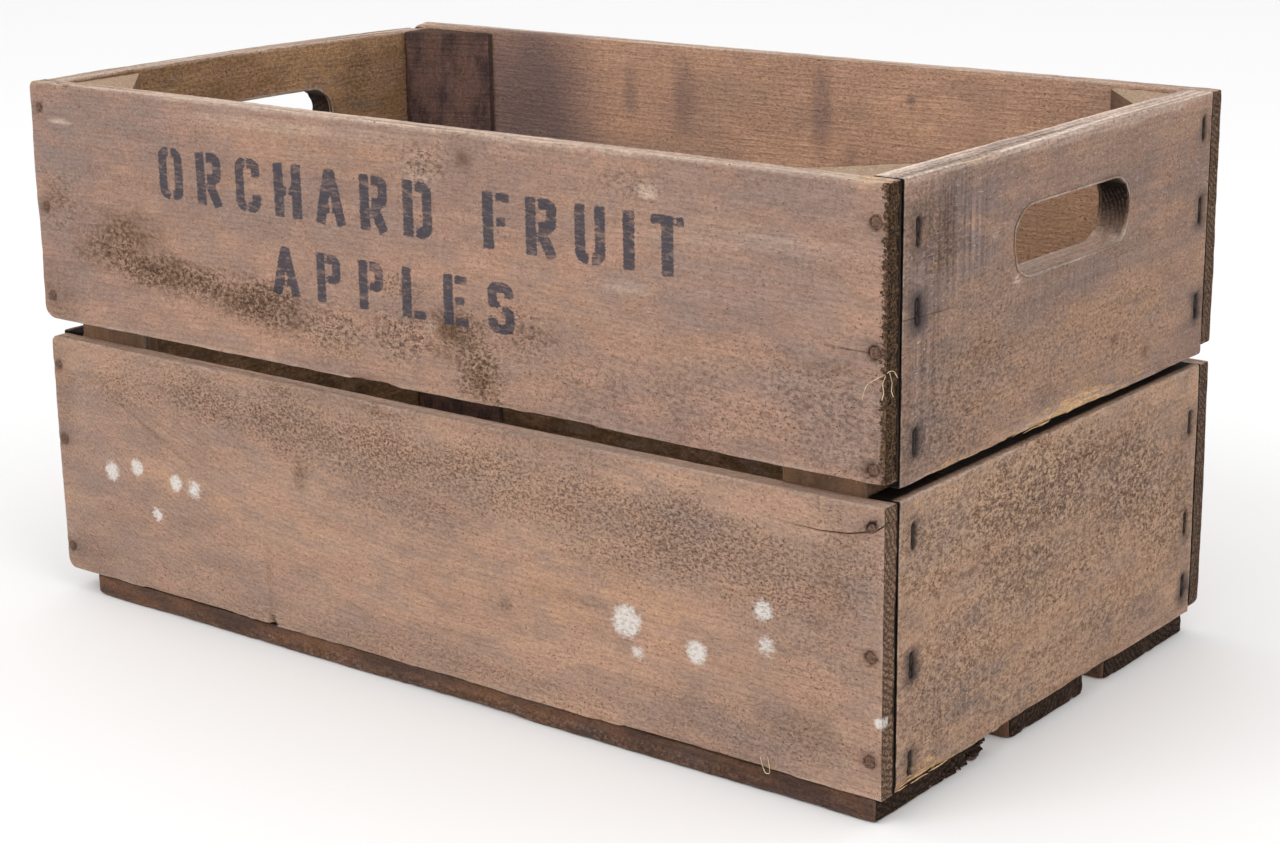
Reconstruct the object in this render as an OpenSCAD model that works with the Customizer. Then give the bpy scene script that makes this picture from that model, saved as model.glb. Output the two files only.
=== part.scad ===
// Nailed wooden apple crate: thin side boards over thicker end boards,
// three-sided posts in the corners and lengthwise slats underneath.
// Origin: centre of the footprint, on the ground. +X runs along the crate, +Z up.

/* [Crate] */
// Length over the side boards
crate_length = 500; // [420:1:600]
// Width over the side boards
crate_width = 284; // [260:1:320]
// Height from the ground to the rim
crate_height = 264; // [240:1:300]

/* [Side boards] */
// Thickness of the side boards
side_thick = 10; // [8:0.5:12]
// Height of a lower side board
side_lower_height = 124; // [100:1:130]
// Air gap between the lower and the upper side board
side_gap = 8.5; // [4:0.5:14]

/* [End boards] */
// Thickness of the end boards
end_thick = 15; // [13:0.5:20]
// Height of a lower end board
end_lower_height = 124.5; // [100:0.5:130]
// Air gap between the lower and the upper end board
end_gap = 4; // [2:0.5:10]

/* [Hand holes] */
// Length of a hand hole
hand_length = 97; // [85:1:120]
// Height of a hand hole
hand_height = 28; // [24:1:40]
// Wood left between the rim and a hand hole
hand_top = 26.5; // [20:0.5:35]

/* [Corner posts] */
// Front left post: width against the side, width against the end
post_front_left = [47, 47]; // [30:1:60]
// Front right post: width against the side, width against the end
post_front_right = [41, 48]; // [30:1:60]
// Back left post: width against the side, width against the end
post_back_left = [49, 20]; // [20:1:60]
// Back right post: width against the side, width against the end
post_back_right = [36, 43]; // [30:1:60]
// How far the posts stop below the rim
post_drop = 2; // [0:0.5:10]

/* [Bottom slats] */
// Thickness of the slats
slat_thick = 11.5; // [8:0.5:16]
// Width of the front slat
slat_front_width = 93; // [80:1:96]
// Width of the middle slat
slat_middle_width = 71; // [55:1:75]
// Width of the back slat
slat_back_width = 85; // [70:1:85]

/* [Fasteners] */
// Nail shank diameter
nail_d = 2.4; // [2:0.1:3]
// Nail head diameter
nail_head_d = 5; // [4:0.1:6]
// Nail length under the head
nail_length = 36; // [30:1:38]
// Width of a staple's crown
crown = 10; // [8:0.5:12]
// Thickness of the staple wire
wire = 1.6; // [1.2:0.1:1.8]
// Length of a staple from crown to points
staple_length = 26; // [22:0.5:28]

/* [Hidden] */
$fn = 48;

front = -1;
back = 1;
left = -1;
right = 1;

half_x = crate_length / 2;
half_y = crate_width / 2;
inner_x = half_x - end_thick;
inner_y = half_y - side_thick;

side_upper_z = slat_thick + side_lower_height + side_gap;
side_upper_height = crate_height - side_upper_z;
end_upper_z = slat_thick + end_lower_height + end_gap;
end_upper_height = crate_height - end_upper_z;
post_height = crate_height - post_drop - slat_thick;
post_blunt = 3;
edge_round = 2;

hand_corner = hand_height / 2 - 1;
hand_shift = 3;

// The lower front board and the front slat were cut a little short at the left.
front_lower_cut = 2.5;
slat_inset = 4;
slat_front_cut = 15;
slat_edge = 2.5;
slat_middle_shift = 3.5;
slat_front_y = slat_edge - half_y;
slat_middle_y = slat_middle_shift - slat_middle_width / 2;
slat_back_y = half_y - slat_edge - slat_back_width;

nail_inset = 6.5;
head_thick = 1;
slat_nail_sink = 0.5;
staple_sink = 0.6;
staple_front_y = 22 - half_y;
staple_back_y = half_y - 18;
proud = 1;
overlap = 0.01;

// Nail places up a side board, as shares of its height: at the left, at the right
side_upper_places = [[0.10, 0.48, 0.89], [0.05, 0.44, 0.863]];
side_lower_places = [[0.10, 0.56, 0.88], [0.13, 0.49, 0.92]];
// Staple places up an end board, as shares of its height: near the front, near the back
left_upper_places = [[0.13, 0.56, 0.82], [0.20, 0.57, 0.83]];
left_lower_places = [[0.16, 0.45, 0.82], [0.18, 0.38, 0.78]];
right_upper_places = [[0.14, 0.56, 0.815], [0.20, 0.57, 0.87]];
right_lower_places = [[0.076, 0.42, 0.86], [0.13, 0.38, 0.78]];
// Nails of a slat, at its left and its right: X, then places as shares of its width.
// The front slat stops short of the left end board, so its left nails go into the post.
end_line = half_x - end_thick / 2;
post_line = 29 - half_x;
slat_front_nailing = [[post_line, [0.23, 0.39]], [end_line, [0.47, 0.86]]];
slat_middle_nailing = [[-end_line, [0.20, 0.80]], [end_line, [0.20, 0.80]]];
slat_back_nailing = [[-end_line, [0.10, 0.50]], [end_line, [0.10, 0.50]]];

side_color = "rosybrown";
end_color = "tan";
post_color = "peru";
slat_color = "sienna";
steel_color = "dimgray";

// A sawn board along X, centred in Y and standing on Z = 0, with its long edges eased.
module plank(length, width, height)
  rotate([90, 0, 90])
    linear_extrude(length)
      translate([0, height / 2])
        eased_rectangle(width, height, edge_round);

module eased_rectangle(width, height, r) {
  square([width, height - 2 * r], center = true);
  square([width - 2 * r, height], center = true);
  for (sx = [-1, 1], sy = [-1, 1])
    translate([sx * (width / 2 - r), sy * (height / 2 - r)])
      circle(r);
}

// A nail driven along -Z with the top of its head at 0. lift lengthens the head for drilling.
module nail(lift) {
  translate([0, 0, -head_thick])
    cylinder(head_thick + lift, d = nail_head_d);
  translate([0, 0, -head_thick - nail_length])
    cylinder(nail_length + overlap, d = nail_d);
}

// A staple driven along -Z with its crown along X. lift deepens its groove for drilling.
module staple(lift) {
  translate([-crown / 2, -wire / 2, -wire])
    cube([crown, wire, wire + lift]);
  for (sx = [-1, 1])
    translate([sx * (crown - wire) / 2 - wire / 2, -wire / 2, -staple_length])
      cube([wire, wire, staple_length]);
}

module side_nails(side, z0, height, places, lift = 0)
  for (i = [0, 1], share = places[i])
    translate([(2 * i - 1) * (half_x - nail_inset), side * half_y, z0 + share * height])
      rotate([-side * 90, 0, 0])
        nail(lift);

module end_staples(end, z0, height, places, lift = 0)
  for (i = [0, 1], share = places[i])
    translate([end * (half_x - staple_sink), [staple_front_y, staple_back_y][i], z0 + share * height])
      rotate([0, end * 90, 0])
        staple(lift);

module slat_nails(y0, width, nailing, lift = 0)
  for (line = nailing, share = line[1])
    translate([line[0], y0 + share * width, slat_nail_sink])
      rotate([180, 0, 0])
        nail(lift);

module upper_side_nails(side, lift = 0)
  side_nails(side, side_upper_z, side_upper_height, side_upper_places, lift);

module lower_side_nails(side, lift = 0)
  side_nails(side, slat_thick, side_lower_height, side_lower_places, lift);

module upper_staples(end, lift = 0)
  end_staples(end, end_upper_z, end_upper_height,
    end == left ? left_upper_places : right_upper_places, lift);

module lower_staples(end, lift = 0)
  end_staples(end, slat_thick, end_lower_height,
    end == left ? left_lower_places : right_lower_places, lift);

module side_board(side, cut, z0, height)
  translate([cut - half_x, side * (half_y - side_thick / 2), z0])
    plank(crate_length - cut, side_thick, height);

module end_board(end, z0, height)
  translate([end * (half_x - end_thick / 2), -inner_y, z0])
    rotate([0, 0, 90])
      plank(2 * inner_y, end_thick, height);

// A long hole with round corners, right through an end board.
module hand_hole(end)
  translate([end * (half_x - end_thick / 2), hand_shift, crate_height - hand_top - hand_height / 2])
    rotate([90, 0, 90])
      linear_extrude(end_thick + 2 * proud, center = true)
        eased_rectangle(hand_length, hand_height, hand_corner);

// A three-sided post with its square corner in the crate's corner and its sharp edges blunted.
module corner_post(end, side, widths)
  color(post_color)
    difference() {
      translate([end * inner_x, side * inner_y, slat_thick])
        linear_extrude(post_height)
          polygon([
            for (p = [
              [0, 0], [widths[0], 0], [widths[0], post_blunt], [post_blunt, widths[1]], [0, widths[1]]
            ])
              [-end * p[0], -side * p[1]]
          ]);
      upper_staples(end);
      lower_staples(end);
    }

module slat(cut, y0, width, nailing)
  color(slat_color)
    difference() {
      translate([slat_inset + cut - half_x, y0 + width / 2, 0])
        plank(crate_length - 2 * slat_inset - cut, width, slat_thick);
      slat_nails(y0, width, nailing, proud);
    }

module front_upper_board()
  color(side_color)
    difference() {
      side_board(front, 0, side_upper_z, side_upper_height);
      upper_side_nails(front, proud);
    }

module front_lower_board()
  color(side_color)
    difference() {
      side_board(front, front_lower_cut, slat_thick, side_lower_height);
      lower_side_nails(front, proud);
    }

module back_upper_board()
  color(side_color)
    difference() {
      side_board(back, 0, side_upper_z, side_upper_height);
      upper_side_nails(back, proud);
    }

module back_lower_board()
  color(side_color)
    difference() {
      side_board(back, 0, slat_thick, side_lower_height);
      lower_side_nails(back, proud);
    }

module upper_end_board(end)
  color(end_color)
    difference() {
      end_board(end, end_upper_z, end_upper_height);
      hand_hole(end);
      upper_side_nails(front);
      upper_side_nails(back);
      upper_staples(end, proud);
    }

module lower_end_board(end)
  color(end_color)
    difference() {
      end_board(end, slat_thick, end_lower_height);
      lower_side_nails(front);
      lower_side_nails(back);
      lower_staples(end, proud);
      slat_front_nails();
      slat_middle_nails();
      slat_back_nails();
    }

module left_end_upper_board() upper_end_board(left);
module left_end_lower_board() lower_end_board(left);
module right_end_upper_board() upper_end_board(right);
module right_end_lower_board() lower_end_board(right);

module corner_post_front_left()
  color(post_color)
    difference() {
      corner_post(left, front, post_front_left);
      slat_front_nails();
    }

module corner_post_front_right() corner_post(right, front, post_front_right);
module corner_post_back_left() corner_post(left, back, post_back_left);
module corner_post_back_right() corner_post(right, back, post_back_right);

module bottom_slat_front() slat(slat_front_cut, slat_front_y, slat_front_width, slat_front_nailing);
module bottom_slat_middle() slat(0, slat_middle_y, slat_middle_width, slat_middle_nailing);
module bottom_slat_back() slat(0, slat_back_y, slat_back_width, slat_back_nailing);

module front_upper_nails() color(steel_color) upper_side_nails(front);
module front_lower_nails() color(steel_color) lower_side_nails(front);
module back_upper_nails() color(steel_color) upper_side_nails(back);
module back_lower_nails() color(steel_color) lower_side_nails(back);
module left_end_upper_staples() color(steel_color) upper_staples(left);
module left_end_lower_staples() color(steel_color) lower_staples(left);
module right_end_upper_staples() color(steel_color) upper_staples(right);
module right_end_lower_staples() color(steel_color) lower_staples(right);
module slat_front_nails() color(steel_color) slat_nails(slat_front_y, slat_front_width, slat_front_nailing);
module slat_middle_nails() color(steel_color) slat_nails(slat_middle_y, slat_middle_width, slat_middle_nailing);
module slat_back_nails() color(steel_color) slat_nails(slat_back_y, slat_back_width, slat_back_nailing);

front_upper_board();
front_lower_board();
back_upper_board();
back_lower_board();
left_end_upper_board();
left_end_lower_board();
right_end_upper_board();
right_end_lower_board();
corner_post_front_left();
corner_post_front_right();
corner_post_back_left();
corner_post_back_right();
bottom_slat_front();
bottom_slat_middle();
bottom_slat_back();
front_upper_nails();
front_lower_nails();
back_upper_nails();
back_lower_nails();
left_end_upper_staples();
left_end_lower_staples();
right_end_upper_staples();
right_end_lower_staples();
slat_front_nails();
slat_middle_nails();
slat_back_nails();
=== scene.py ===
from functools import partial
import bpy
import numpy as np
from mathutils import Matrix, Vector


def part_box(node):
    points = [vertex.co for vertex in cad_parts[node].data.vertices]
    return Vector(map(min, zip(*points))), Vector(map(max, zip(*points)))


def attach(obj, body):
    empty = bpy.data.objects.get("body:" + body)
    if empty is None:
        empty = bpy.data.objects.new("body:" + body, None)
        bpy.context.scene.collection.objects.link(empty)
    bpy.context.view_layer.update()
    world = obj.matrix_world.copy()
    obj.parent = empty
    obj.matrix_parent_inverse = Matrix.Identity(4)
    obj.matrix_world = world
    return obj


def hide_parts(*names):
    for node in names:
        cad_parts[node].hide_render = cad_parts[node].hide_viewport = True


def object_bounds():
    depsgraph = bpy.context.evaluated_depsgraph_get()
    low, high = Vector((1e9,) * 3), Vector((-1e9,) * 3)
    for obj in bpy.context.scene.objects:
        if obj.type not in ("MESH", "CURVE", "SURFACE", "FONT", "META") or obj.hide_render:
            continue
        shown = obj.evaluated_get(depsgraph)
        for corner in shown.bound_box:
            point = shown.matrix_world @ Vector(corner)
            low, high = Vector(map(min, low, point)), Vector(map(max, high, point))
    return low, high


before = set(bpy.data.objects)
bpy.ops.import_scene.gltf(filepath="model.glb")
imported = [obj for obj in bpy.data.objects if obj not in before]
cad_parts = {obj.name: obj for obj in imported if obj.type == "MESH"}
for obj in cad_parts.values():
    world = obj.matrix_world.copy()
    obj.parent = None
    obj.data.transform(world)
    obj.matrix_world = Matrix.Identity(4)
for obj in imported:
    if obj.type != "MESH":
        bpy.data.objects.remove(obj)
cadLow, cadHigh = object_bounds()
print("frame loaded:", len(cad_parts), "nodes")

mm = 0.001


def srgb(red, green, blue):
    # display colour 0..255 to linear light
    c = np.array([red, green, blue]) / 255
    c = np.where(c > 0.04045, ((c + 0.055) / 1.055) ** 2.4, c / 12.92)
    return (*c.tolist(), 1.0)


def cellRandom(cells, seed):
    # integer mixing: one number in -1..1 for each whole-number cell
    h = cells[:, 0] * 374761393 + cells[:, 1] * 668265263 + cells[:, 2] * 1274126177 + seed * 974634777
    h = (h ^ (h >> 13)) * 1103515245 & 0x7FFFFFFF
    h = (h ^ (h >> 11)) * 12345653 & 0x7FFFFFFF
    return (h ^ (h >> 15)) % 65536 / 32767.5 - 1


def softNoise(points, cell, seed):
    # random numbers at the corners of cells, blended inside with 3t^2 - 2t^3
    q = points / np.asarray(cell, float)
    base = np.floor(q).astype(np.int64)
    f = q - base
    f = f * f * (3 - 2 * f)
    total = np.zeros(len(points))
    for corner in range(8):
        step = np.array([corner & 1, corner >> 1 & 1, corner >> 2 & 1])
        total += np.prod(np.where(step, f, 1 - f), axis=1) * cellRandom(base + step, seed)
    return total


def ease(value, low, high):
    # 0 below low, 1 above high, smooth between
    t = np.clip((value - low) / (high - low), 0, 1)
    return t * t * (3 - 2 * t)


def spots(along, up, ragged, marks):
    # the strongest of soft oval spots (along, up, half length, half height, strength, tilt), made ragged
    solid, gone, raggedness = 0.25, 1.25, 0.35
    total = np.zeros(len(along))
    for a, u, halfA, halfU, strength, *tilt in marks:
        turn = np.radians(tilt[0] if tilt else 0)
        da, du = along - a, up - u
        turnedA, turnedU = da * np.cos(turn) + du * np.sin(turn), du * np.cos(turn) - da * np.sin(turn)
        r = np.hypot(turnedA / halfA, turnedU / halfU) * (1 + raggedness * ragged)
        total = np.maximum(total, strength * (1 - ease(r, solid, gone)))
    return total


def makeMesh(name, points, polygons, fields=None):
    # points in millimetres; polygons is a list of index arrays, one for each number of corners
    mesh = bpy.data.meshes.new(name)
    mesh.vertices.add(len(points))
    mesh.vertices.foreach_set("co", (points * mm).astype(np.float32).ravel())
    corners = np.concatenate([q.ravel() for q in polygons]).astype(np.int32)
    counts = np.concatenate([np.full(len(q), q.shape[1]) for q in polygons])
    mesh.loops.add(len(corners))
    mesh.loops.foreach_set("vertex_index", corners)
    mesh.polygons.add(len(counts))
    mesh.polygons.foreach_set("loop_start", (np.cumsum(counts) - counts).astype(np.int32))
    mesh.update(calc_edges=True)
    mesh.shade_smooth()
    for key, values in (fields or {}).items():
        layer = mesh.attributes.new(key, "FLOAT", "POINT")
        layer.data.foreach_set("value", values.astype(np.float32))
    mesh.validate()
    piece = bpy.data.objects.new(name, mesh)
    bpy.context.scene.collection.objects.link(piece)
    return piece


def joined(parts):
    # several (points, polygons) surfaces as one list of points and polygons
    points, quads, start = [], [], 0
    for p, q in parts:
        points.append(p)
        quads += [block + start for block in q]
        start += len(p)
    return np.concatenate(points), quads


def ringSkin(count, sides):
    # quads between count rings of points, and a fan from each end ring to the two end points that follow them
    k = np.arange(sides)
    ahead = (k + 1) % sides
    rows, lastRow = np.arange(count - 1)[:, None] * sides, (count - 1) * sides
    quads = np.stack([rows + k, rows + ahead, rows + sides + ahead, rows + sides + k], -1)
    first = np.stack([np.full(sides, count * sides), ahead, k], 1)
    last = np.stack([np.full(sides, count * sides + 1), lastRow + k, lastRow + ahead], 1)
    return [quads.reshape(-1, 4), first, last]


def tube(path, radius, sides=8, squash=1.0, across=(1.0, 0.3, 0.2)):
    # a round section carried along a path, its ends closed by a fan to the end points
    path = np.asarray(path, float)
    radius = np.broadcast_to(radius, len(path))
    way = np.gradient(path, axis=0)
    way /= np.linalg.norm(way, axis=1)[:, None]
    sideways = np.cross(way, across)
    sideways /= np.linalg.norm(sideways, axis=1)[:, None]
    upward = np.cross(way, sideways)
    turn = np.arange(sides) * 2 * np.pi / sides
    cosine, sine = np.cos(turn)[None, :, None], np.sin(turn)[None, :, None]
    ring = cosine * sideways[:, None] + squash * sine * upward[:, None]
    ring = path[:, None] + radius[:, None, None] * ring
    return np.concatenate([ring.reshape(-1, 3), path[:1], path[-1:]]), ringSkin(len(path), sides)


def latticeLines(length, step, band, extra=()):
    # even lines, closer in the two edge bands, plus clusters round chosen places
    near = band * np.array([0, 0.1, 0.25, 0.45, 0.7, 1.0])
    count = max(2, round((length - 2 * band) / step))
    lines = [near, length - near, np.linspace(band, length - band, count + 1)]
    for place, spread in extra:
        lines.append(place + spread * np.array([-1, -0.5, -0.18, 0, 0.18, 0.5, 1]))
    lines = np.unique(np.round(np.concatenate(lines), 4))
    keep = np.concatenate([[True], np.diff(lines) > 0.04])
    return lines[keep]


def blockSurface(ts, along, up, window=None):
    # the skin of a block of lattice points as shared points and outward quads; a window may go through it
    shape = (len(ts), len(along), len(up))
    skin = np.zeros(shape, bool)
    skin[[0, -1]] = True
    skin[:, [0, -1]] = True
    skin[:, :, [0, -1]] = True
    if window:
        j1, j2, k1, k2 = window
        skin[:, j1 : j2 + 1, k1 : k2 + 1] = True
        skin[:, j1 + 1 : j2, k1 + 1 : k2] = False
    index = np.full(shape, -1)
    index[skin] = np.arange(skin.sum())
    i, j, k = np.nonzero(skin)
    points = np.stack([ts[i], along[j], up[k]], 1)
    quads = []

    def sheet(grid, flip):
        q = np.stack([grid[:-1, :-1], grid[1:, :-1], grid[1:, 1:], grid[:-1, 1:]], -1).reshape(-1, 4)
        quads.append(q[:, ::-1] if flip else q)

    if window:
        for face, flip in ((0, True), (-1, False)):
            sheet(index[face][: j1 + 1], flip)
            sheet(index[face][j2:], flip)
            sheet(index[face][j1 : j2 + 1, : k1 + 1], flip)
            sheet(index[face][j1 : j2 + 1, k2:], flip)
        sheet(index[:, j1, k1 : k2 + 1], True)
        sheet(index[:, j2, k1 : k2 + 1], False)
        sheet(index[:, j1 : j2 + 1, k1], False)
        sheet(index[:, j1 : j2 + 1, k2], True)
    else:
        sheet(index[0], True)
        sheet(index[-1], False)
    sheet(index[:, 0], False)
    sheet(index[:, -1], True)
    sheet(index[:, :, 0], True)
    sheet(index[:, :, -1], False)
    return points, np.concatenate(quads)


def roundCorners(p, size, corners):
    # in each chosen corner the square |d|max = r goes to the quarter circle |d| = r
    q = p.copy()
    for (endA, endU), r in corners.items():
        centre = np.array([r if endA < 0 else size[1] - r, r if endU < 0 else size[2] - r])
        d = (p[:, 1:] - centre) * [endA, endU]
        m = d.max(1)
        inside = (d.min(1) > 0) & (m > 0)
        scale = np.where(inside, m / np.where(inside, np.hypot(*d.T), 1), 1)
        q[:, 1:] = np.where(inside[:, None], centre + d * scale[:, None] * [endA, endU], q[:, 1:])
    return q


def easedEdges(p, size, radius):
    # the nearest point of the block shrunk by r, then out again by r along the line to the old point
    r = radius[:, None]
    core = np.clip(p, r, np.asarray(size) - r)
    d = p - core
    normal = d / np.maximum(np.linalg.norm(d, axis=1), 1e-9)[:, None]
    return core + normal * r, normal


def roundedSlot(a, u, slot):
    # signed distance to a rectangle with round corners, and the direction away from it
    centreA, centreU, halfA, halfU, r = slot
    d = np.stack([a - centreA, u - centreU], 1)
    q = np.abs(d) - [halfA - r, halfU - r]
    outside = np.maximum(q, 0)
    distance = np.hypot(*outside.T) + np.minimum(q.max(1), 0) - r
    way = np.where(q.max(1)[:, None] > 0, outside, (q == q.max(1)[:, None]) * 1.0) * np.sign(d)
    way /= np.maximum(np.hypot(*way.T), 1e-9)[:, None]
    return distance, way


def slotCorners(p, slot):
    # pulls the lattice round the square-cornered window onto the slot's quarter circles
    centreA, centreU, halfA, halfU, r = slot
    q = p.copy()
    for sa in (-1, 1):
        for su in (-1, 1):
            centre = np.array([centreA + sa * (halfA - r), centreU + su * (halfU - r)])
            d = (p[:, 1:] - centre) * [sa, su]
            m = np.maximum(d.max(1), 1e-9)
            inside = d.min(1) > 0
            length = np.maximum(np.hypot(*d.T), 1e-9)
            pull = (r / length - r / m) * (1 - ease(m, r, 2.6 * r)) * inside
            q[:, 1:] += d * pull[:, None] * [sa, su]
    return q


# each face's own directions as (axis, sign): along the grain, up the face, and in from the outer side
faces = {
    "front": ((0, 1), (2, 1), (1, 1)), "back": ((0, 1), (2, 1), (1, -1)),
    "left": ((1, 1), (2, 1), (0, 1)), "right": ((1, 1), (2, 1), (0, -1)),
    "under": ((0, 1), (1, 1), (2, 1)), "postFrontLeft": ((2, 1), (0, 1), (1, 1)),
    "postFrontRight": ((2, 1), (0, -1), (1, 1)), "postBackLeft": ((2, 1), (0, 1), (1, -1)),
    "postBackRight": ((2, 1), (0, -1), (1, -1)),
}


def boardSize(node, face):
    low, high = (np.array(v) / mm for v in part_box(node))
    along, up, through = (axis for axis, sign in faces[face])
    return low, high, (high - low)[[through, along, up]]


def toWorld(p, low, high, face):
    # block columns are through, along, up
    world = np.empty_like(p)
    for column, (axis, sign) in zip((1, 2, 0), faces[face]):
        world[:, axis] = low[axis] + p[:, column] if sign > 0 else high[axis] - p[:, column]
    return world


def turnedOver(face):
    basis = np.zeros((3, 3))
    for row, (axis, sign) in enumerate(faces[face]):
        basis[row, axis] = sign
    return np.linalg.det(basis) < 0


def nailPlaces(node, face, reach=12):
    # centres of the CAD fasteners on a face: points closer than the reach are one fastener
    axisA, axisU = faces[face][0][0], faces[face][1][0]
    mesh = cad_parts[node].data
    co = np.empty(len(mesh.vertices) * 3)
    mesh.vertices.foreach_get("co", co)
    co = co.reshape(-1, 3)[:, [axisA, axisU]] / mm
    centres = []
    while len(co):
        near = np.hypot(*(co - co[0]).T) < reach
        centres.append((co[near].min(0) + co[near].max(0)) / 2)
        co = co[~near]
    return np.array(centres)


def camel(words):
    # front_upper_board becomes frontUpperBoard
    first, *rest = words.split("_")
    return first + "".join(word.title() for word in rest)


# what a board has unless its own dictionary says otherwise, in its own millimetres along, up and through:
# speck to pale, the inside stain list and oliveInside are lists for spots; splash is along, up, radius,
# strength;
# knots are along, up, radius; drift, sag and a crack's path are (along, value) lines; pith is (up, through);
# the top faces' lightening is weathering plus painted highlight, their darkening is painted shade
usual = dict(
    depthStep=1.3, edge=1.3, endRough=0.5, ringWidth=3.0, fray=0.01, wear=1, nailTall=0, topPaleAndHighlight=0.8,
    topShade=0.0, drift=[(0, 0), (1, 0)], corners={}, cracks=(), chips=(), knots=(), nails=None, slot=None,
    taperTo=None, sag=None, stencil=None, speck=(), stain=(), film=(), warm=(), pale=(), splash=(),
    speckInside=0.0, stainAndShadeInside=(), oliveInside=(),
)


def blockSkin(piece, size):
    # lattice lines crowd along the edges, the cracks and the hand hole, whose window goes right through
    edgeBand, thinBand, crackBand, holeBand = 2.4, 2.0, 1.2, 3
    thick, length, height = size
    slot, extraA = piece["slot"], []
    extraU = [(crack["up"], crackBand) for crack in piece["cracks"]]
    if slot:
        extraA += [(slot[0] + side * slot[2], holeBand) for side in (-1, 1)]
        extraU += [(slot[1] + side * slot[3], holeBand) for side in (-1, 1)]
    ts = latticeLines(thick, piece["depthStep"], thinBand)
    along = latticeLines(length, piece["step"], edgeBand, extraA)
    up = latticeLines(height, piece["step"], edgeBand, extraU)
    window = [int(np.abs(along - place).argmin()) for place, spread in extraA]
    window += [int(np.abs(up - place).argmin()) for place, spread in extraU[-2:]]
    return blockSurface(ts, along, up, window if slot else None)


def holeRims(p, normal, flat, thick, piece, wander):
    # quarter-round rims: points sink on the faces and spread on the walls by r - sqrt(r^2 - (r - distance)^2)
    def roundOver(distance):
        return rim - np.sqrt(np.maximum(rim**2 - (rim - distance) ** 2, 0))

    depth = np.minimum(flat[:, 0], thick - flat[:, 0])
    distance, way = roundedSlot(p[:, 1], p[:, 2], piece["slot"])
    onWall = distance < 0.05
    rim = piece["slotRim"] * (1 + 0.4 * wander)
    onFace = ~onWall & (distance < rim) & (depth < 0.01)
    sink = roundOver(distance)
    p[:, 0] += np.where(onFace, np.where(flat[:, 0] < thick / 2, sink, -sink), 0)
    p[:, 1:] += np.where(onWall[:, None], way * roundOver(np.minimum(depth, rim))[:, None], 0)
    wallNormal = np.zeros_like(normal)
    wallNormal[:, 1:] = -way
    return distance, onWall, np.where(onWall[:, None], wallNormal, normal)


def crackMarks(piece, a, u, facing, carve):
    # each crack is a bell-shaped groove exp(-(distance / width)^2), fading in and out along its run
    gap = np.zeros(len(a))
    for crack in piece["cracks"]:
        inside = ease(a, crack["start"], crack["start"] + crack["fade"][0])
        inside = inside * (1 - ease(a, crack["stop"] - crack["fade"][1], crack["stop"]))
        line = np.exp(-(((u - crack["up"]) / crack["width"]) ** 2)) * inside * facing
        carve += line * crack["depth"]
        gap = np.maximum(gap, line * crack["dark"])
    return gap


def chipMarks(piece, flat, grainPoint, carve):
    # broken-out bays: centre and half sizes along, up and through, the depth, how fresh the wood is
    torn = np.zeros(len(flat))
    for centreA, centreU, centreT, halfA, halfU, halfT, deep, fresh in piece["chips"]:
        away = (flat - [centreT, centreA, centreU]) / [halfT, halfA, halfU]
        ragged = 1 + 0.45 * softNoise(grainPoint, (9, 1.6, 1.6), piece["seed"] + 6)
        inside = 1 - ease(np.linalg.norm(away, axis=1) * ragged, 0.55, 0.92)
        carve += deep * inside
        torn = np.maximum(torn, fresh * inside)
    return torn


def nailMarks(piece, nails, a, u, outer, ragged, carve):
    # a dent, a seat darkened with painted shade and an iron stain round every fastener; a staple's marks run
    # up its crown
    rust, slit = np.zeros(len(a)), np.zeros(len(a))
    tall, dentDepth = piece["nailTall"], 0.8
    dent, seat = ((1.0, 2.6), (1.2, 2.6)) if tall else ((2.0, 4.6), (2.5, 3.3))
    stain, reach = (1, 7.5) if tall else (0.7, 7)
    for number, (nailA, nailU) in enumerate(nails):
        apartA, apartU = a - nailA, np.maximum(np.abs(u - nailU) - tall, 0)
        d = np.hypot(apartA, apartU) * (1 + 0.2 * ragged)
        carve += outer * dentDepth * (1 - ease(d, *dent))
        halo = np.hypot(apartA / 1.3, apartU) * (1 + 0.45 * ragged)
        level = 0.65 + 0.35 * np.sin(number * 2.4)
        quiet = 0.5 if piece["face"] == "front" and nailA < a.max() / 2 else 1
        rust = np.maximum(rust, outer * level * quiet * stain * (1 - ease(halo, 1.5, reach)))
        # painted shade in the seat round each head
        slit = np.maximum(slit, outer * quiet * (1 - ease(d, *seat)))
    return rust, slit


def yearRings(piece, a, u, t, outer, ragged):
    # ring number: distance from a pith line plus the grain's run-out, bulging round the knots
    knotLong, knotShort, bulge, farKnot = 1.5, 1.15, 0.85, 4.0
    rise = u + np.interp(a, *np.array(piece["drift"], float).T)
    rise = rise + 2.2 * softNoise(np.stack([a, u, t], 1), (150, 50, 50), piece["seed"] + 9)
    knot = np.full(len(a), farKnot)
    for knotA, knotU, knotR in piece["knots"]:
        d = np.hypot((a - knotA) / knotLong, u - knotU) / np.where(outer, 1, 0.6)
        rise = rise - (u - knotU) * np.exp(-((d / (2.4 * knotR)) ** 2)) * bulge
        away = np.hypot((a - knotA) / knotShort, u - knotU) * (1 + 0.2 * ragged)
        knot = np.minimum(knot, away / knotR / outer.clip(0.5))
    pithU, pithT = piece["pith"]
    return np.hypot(rise - pithU, t - pithT) / piece["ringWidth"], knot


def seamShade(piece, a, u, t, size, ragged):
    # the dark line where a board meets its neighbour round the corner, or a post its board
    thick, length, height = size
    toEnd = np.minimum(a, length - a) * (1 + 0.7 * ragged)
    if piece["taperTo"]:
        return 0.7 * (1 - ease(height - u, 0.1, 0.9))
    if piece["face"] in ("left", "right"):
        return 1 - ease(toEnd, 0.2, 1.4)
    return (1 - ease(toEnd, 1.0, 3.5)) * (1 - ease((thick - t) * (1 + 0.9 * ragged), 0.3, 1.8))


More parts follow.
